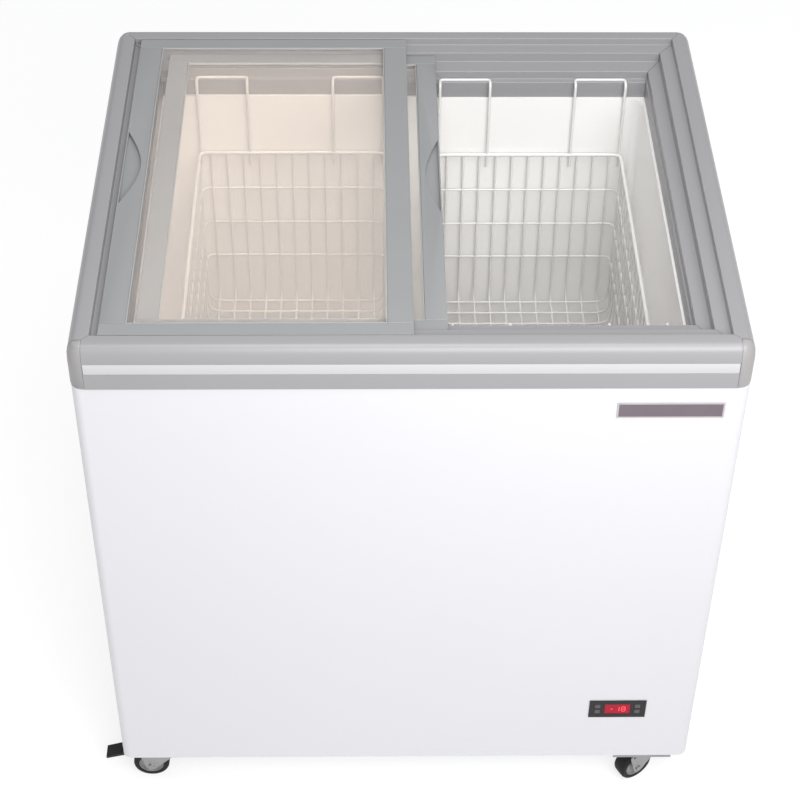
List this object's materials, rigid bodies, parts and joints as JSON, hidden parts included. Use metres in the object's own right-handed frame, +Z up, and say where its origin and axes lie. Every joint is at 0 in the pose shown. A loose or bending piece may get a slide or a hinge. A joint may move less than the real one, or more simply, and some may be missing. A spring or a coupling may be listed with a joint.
{
  "type": "display chest freezer",
  "caption": "Low white chest freezer on casters with a stepped grey top frame, two sliding glass lids, hanging baskets and a small control panel at the lower front.",
  "frame": {"origin": "on the floor, under the centre of the overall bounding box", "axes": "+Z up; front (controller side) towards -Y; +X to the right seen from the front"},
  "size_m": [0.836, 0.667, 0.82],
  "materials": {
    "white_steel": "smooth white powder coat on sheet steel",
    "galvanised": "galvanised sheet",
    "liner": "smooth white vacuum-formed liner",
    "foam": null,
    "copper": "drawn copper tube",
    "frame_grey": "satin grey extrusion",
    "cap_grey": "satin warm grey moulding",
    "lid_profile": "satin blue-grey extrusion",
    "glass": "clear low-emissivity tempered glass",
    "coated_wire": "white dip-coated steel",
    "zinc": "bright zinc plate",
    "tyre": "matte black rubber",
    "pedal_plastic": "black moulding",
    "black_plastic": "black moulding",
    "red_lens": "tinted clear lens",
    "key_rubber": "dark grey silicone",
    "badge": "blank satin plate",
    "black_paint": "black paint",
    "fins": "mill finish fins",
    "fan_plastic": "light grey moulding"
  },
  "bodies": {
    "cabinet": {"outer_shell": "white_steel", "rear_panel": "white_steel", "rear_grille": "white_steel", "base_pan": "galvanised", "inner_liner": "liner", "foam_insulation": "foam", "evaporator_coil": "copper", "discharge_pipe": "copper", "suction_pipe": "copper", "filter_drier": "copper", "frame_rail_front": "frame_grey", "frame_rail_rear": "frame_grey", "frame_rail_left": "frame_grey", "frame_rail_right": "frame_grey", "frame_corner_front_left": "cap_grey", "frame_corner_front_right": "cap_grey", "frame_corner_rear_left": "cap_grey", "frame_corner_rear_right": "cap_grey", "caster_plate_front_left": "zinc", "caster_plate_front_right": "zinc", "caster_plate_rear_left": "zinc", "caster_plate_rear_right": "zinc", "controller_bezel": "black_plastic", "controller_case": "black_plastic", "power_gland": "black_plastic", "controller_window": "red_lens", "badge_plate": "badge", "compressor": "black_paint", "condenser_fan_motor": "black_paint", "condenser": "fins"},
    "upper_lid": {"upper_lid_rail_front": "lid_profile", "upper_lid_rail_rear": "lid_profile", "upper_lid_stile_left": "lid_profile", "upper_lid_stile_right": "lid_profile", "upper_lid_glass": "glass"},
    "lower_lid": {"lower_lid_rail_front": "lid_profile", "lower_lid_rail_rear": "lid_profile", "lower_lid_stile_left": "lid_profile", "lower_lid_stile_right": "lid_profile", "lower_lid_glass": "glass"},
    "basket_left": {"left_basket": "coated_wire"},
    "basket_right": {"right_basket": "coated_wire"},
    "fan": {"condenser_fan": "fan_plastic"},
    "set_key": {"key_set": "key_rubber"},
    "light_key": {"key_light": "key_rubber"},
    "up_key": {"key_up": "key_rubber"},
    "down_key": {"key_down": "key_rubber"},
    "swivel_front_left": {"caster_fork_front_left": "zinc"},
    "wheel_front_left": {"caster_wheel_front_left": "tyre"},
    "brake_front_left": {"caster_pedal_front_left": "pedal_plastic"},
    "swivel_front_right": {"caster_fork_front_right": "zinc"},
    "wheel_front_right": {"caster_wheel_front_right": "tyre"},
    "swivel_rear_left": {"caster_fork_rear_left": "zinc"},
    "wheel_rear_left": {"caster_wheel_rear_left": "tyre"},
    "swivel_rear_right": {"caster_fork_rear_right": "zinc"},
    "wheel_rear_right": {"caster_wheel_rear_right": "tyre"},
    "brake_rear_right": {"caster_pedal_rear_right": "pedal_plastic"}
  },
  "joints": [
    {"name": "upper_lid_slide", "type": "slide", "parent": "cabinet", "child": "upper_lid", "axis": [-1, 0, 0], "range_m": [-0.3635, 0.0085]},
    {"name": "lower_lid_slide", "type": "slide", "parent": "cabinet", "child": "lower_lid", "axis": [-1, 0, 0], "range_m": [-0.306, 0.03]},
    {"name": "left_basket_lift", "type": "slide", "parent": "cabinet", "child": "basket_left", "axis": [0, 0, 1], "range_m": [0, 0.01]},
    {"name": "right_basket_lift", "type": "slide", "parent": "cabinet", "child": "basket_right", "axis": [0, 0, 1], "range_m": [0, 0.45]},
    {"name": "fan_spin", "type": "hinge", "parent": "cabinet", "child": "fan", "pos_m": [0.2575, -0.12, 0.17], "axis": [0, 1, 0], "continuous": true},
    {"name": "set_key_press", "type": "slide", "parent": "cabinet", "child": "set_key", "axis": [0, 1, 0], "range_m": [0, 0.0015], "stiffness_N_per_m": 400},
    {"name": "light_key_press", "type": "slide", "parent": "cabinet", "child": "light_key", "axis": [0, 1, 0], "range_m": [0, 0.0015], "stiffness_N_per_m": 400},
    {"name": "up_key_press", "type": "slide", "parent": "cabinet", "child": "up_key", "axis": [0, 1, 0], "range_m": [0, 0.0015], "stiffness_N_per_m": 400},
    {"name": "down_key_press", "type": "slide", "parent": "cabinet", "child": "down_key", "axis": [0, 1, 0], "range_m": [0, 0.0015], "stiffness_N_per_m": 400},
    {"name": "swivel_front_left", "type": "hinge", "parent": "cabinet", "child": "swivel_front_left", "pos_m": [-0.3375, -0.302, 0.06], "axis": [0, 0, 1], "continuous": true},
    {"name": "wheel_front_left", "type": "hinge", "parent": "swivel_front_left", "child": "wheel_front_left", "pos_m": [-0.356, -0.302, 0.025], "axis": [0, -1, 0], "continuous": true},
    {"name": "brake_front_left", "type": "hinge", "parent": "swivel_front_left", "child": "brake_front_left", "pos_m": [-0.3645, -0.302, 0.053], "axis": [0, -1, 0], "range_deg": [0, 12]},
    {"name": "swivel_front_right", "type": "hinge", "parent": "cabinet", "child": "swivel_front_right", "pos_m": [0.3375, -0.302, 0.06], "axis": [0, 0, 1], "continuous": true},
    {"name": "wheel_front_right", "type": "hinge", "parent": "swivel_front_right", "child": "wheel_front_right", "pos_m": [0.32148, -0.31125, 0.025], "axis": [0.5, -0.866, 0], "continuous": true},
    {"name": "swivel_rear_left", "type": "hinge", "parent": "cabinet", "child": "swivel_rear_left", "pos_m": [-0.3375, 0.302, 0.06], "axis": [0, 0, 1], "continuous": true},
    {"name": "wheel_rear_left", "type": "hinge", "parent": "swivel_rear_left", "child": "wheel_rear_left", "pos_m": [-0.319, 0.302, 0.025], "axis": [0, 1, 0], "continuous": true},
    {"name": "swivel_rear_right", "type": "hinge", "parent": "cabinet", "child": "swivel_rear_right", "pos_m": [0.3375, 0.302, 0.06], "axis": [0, 0, 1], "continuous": true},
    {"name": "wheel_rear_right", "type": "hinge", "parent": "swivel_rear_right", "child": "wheel_rear_right", "pos_m": [0.356, 0.302, 0.025], "axis": [0, 1, 0], "continuous": true},
    {"name": "brake_rear_right", "type": "hinge", "parent": "swivel_rear_right", "child": "brake_rear_right", "pos_m": [0.3645, 0.302, 0.053], "axis": [0, 1, 0], "range_deg": [0, 12]}
  ]
}
